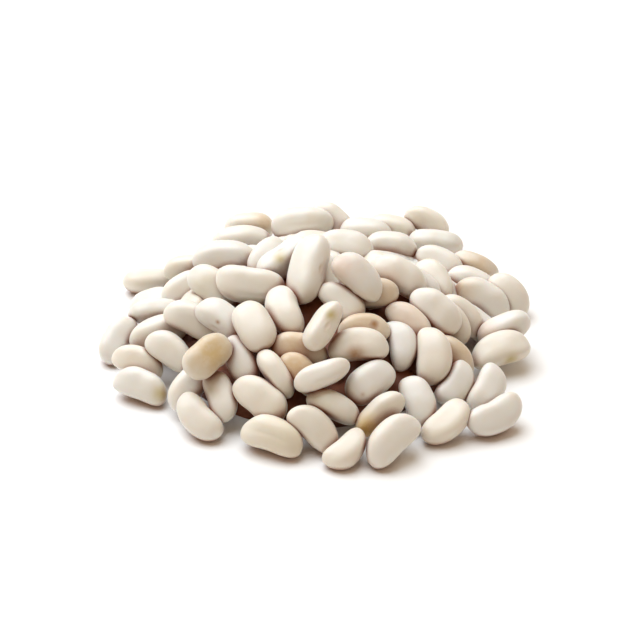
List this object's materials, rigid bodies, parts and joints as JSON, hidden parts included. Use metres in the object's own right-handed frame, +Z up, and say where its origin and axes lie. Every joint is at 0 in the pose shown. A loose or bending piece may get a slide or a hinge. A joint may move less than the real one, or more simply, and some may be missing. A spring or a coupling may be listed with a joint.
{
  "type": "heap of dried white beans",
  "caption": "Loose heap of dried white kidney-shaped beans lying on a flat surface, with no dish.",
  "frame": {"origin": "middle of the heap's flat underside, on the surface that it lies on", "axes": "+Z up, and the picture's viewer is on the -Y side, 34 degrees above the surface"},
  "size_m": [0.1147, 0.1131, 0.0336],
  "materials": {
    "dried_white_bean": "satin bean skin, cream white"
  },
  "bodies": {
    "root": {"bean_heap": "dried_white_bean"}
  },
  "joints": []
}
